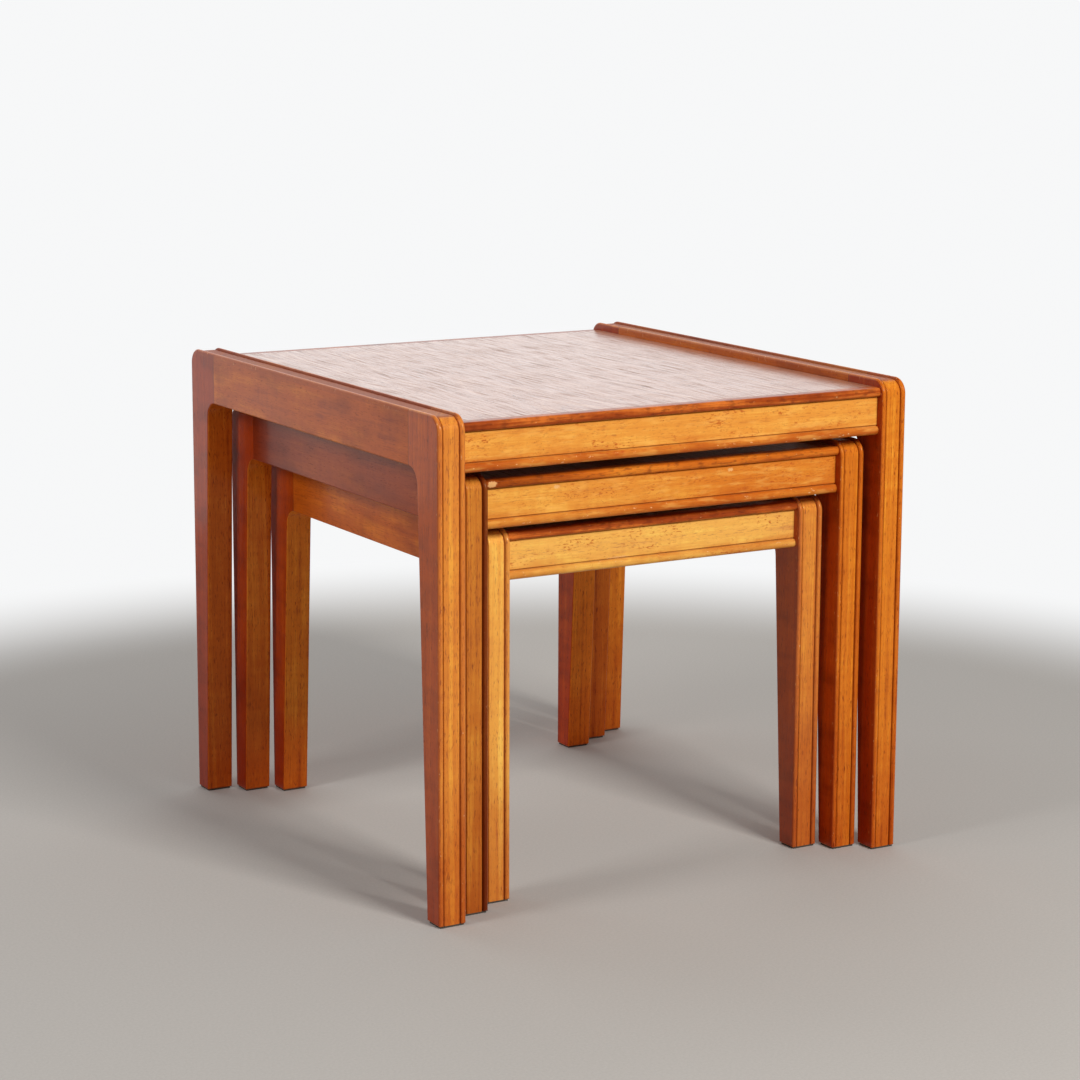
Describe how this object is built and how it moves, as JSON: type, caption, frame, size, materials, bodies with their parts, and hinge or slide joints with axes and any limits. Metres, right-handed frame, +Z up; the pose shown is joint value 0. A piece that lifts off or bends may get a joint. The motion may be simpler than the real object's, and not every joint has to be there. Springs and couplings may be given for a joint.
{
  "type": "nesting tables",
  "caption": "Nest of side tables with bead-moulded side frames and recessed veneered tops; the smaller tables slide out from under the large one.",
  "frame": {"origin": "on the floor, in the middle of the large table's footprint", "axes": "+X to the right along the front, +Y from front to back, +Z up"},
  "size_m": [0.47, 0.495, 0.43],
  "materials": {
    "frame_wood": "satin lacquered afrormosia or teak, grain along the piece",
    "apron_wood": "satin lacquered honey-orange hardwood, grain along the piece",
    "lipping_wood": "satin lacquered red-brown hardwood strip",
    "top_veneer": "semi-gloss lacquered teak veneer, grain from front to back",
    "hidden_wood": "bare beech",
    "felt": "dark felt",
    "screw_steel": "zinc-plated steel"
  },
  "bodies": {
    "large_table": {"large_front_left_leg": "frame_wood", "large_front_right_leg": "frame_wood", "large_back_left_leg": "frame_wood", "large_back_right_leg": "frame_wood", "large_left_rail": "frame_wood", "large_right_rail": "frame_wood", "large_front_apron": "apron_wood", "large_back_apron": "apron_wood", "large_top_panel": "top_veneer", "large_front_lipping": "lipping_wood", "large_back_lipping": "lipping_wood", "large_foot_felts": "felt", "large_rail_dowels": "hidden_wood", "large_apron_dowels": "hidden_wood", "large_corner_blocks": "hidden_wood", "large_side_battens": "hidden_wood", "large_top_screws": "screw_steel", "large_frame_screws": "screw_steel"},
    "medium_table": {"medium_front_left_leg": "frame_wood", "medium_front_right_leg": "frame_wood", "medium_back_left_leg": "frame_wood", "medium_back_right_leg": "frame_wood", "medium_left_rail": "frame_wood", "medium_right_rail": "frame_wood", "medium_front_apron": "apron_wood", "medium_back_apron": "apron_wood", "medium_top_panel": "top_veneer", "medium_front_lipping": "lipping_wood", "medium_back_lipping": "lipping_wood", "medium_foot_felts": "felt", "medium_rail_dowels": "hidden_wood", "medium_apron_dowels": "hidden_wood", "medium_corner_blocks": "hidden_wood", "medium_side_battens": "hidden_wood", "medium_top_screws": "screw_steel", "medium_frame_screws": "screw_steel"},
    "small_table": {"small_front_left_leg": "frame_wood", "small_front_right_leg": "frame_wood", "small_back_left_leg": "frame_wood", "small_back_right_leg": "frame_wood", "small_left_rail": "frame_wood", "small_right_rail": "frame_wood", "small_front_apron": "apron_wood", "small_back_apron": "apron_wood", "small_top_panel": "top_veneer", "small_front_lipping": "lipping_wood", "small_back_lipping": "lipping_wood", "small_foot_felts": "felt", "small_rail_dowels": "hidden_wood", "small_apron_dowels": "hidden_wood", "small_corner_blocks": "hidden_wood", "small_side_battens": "hidden_wood", "small_top_screws": "screw_steel", "small_frame_screws": "screw_steel"}
  },
  "joints": [
    {"name": "medium_slide", "type": "slide", "parent": "large_table", "child": "medium_table", "axis": [0, -1, 0], "range_m": [0, 0.5]},
    {"name": "small_slide", "type": "slide", "parent": "large_table", "child": "small_table", "axis": [0, -1, 0], "range_m": [0, 0.98]}
  ]
}
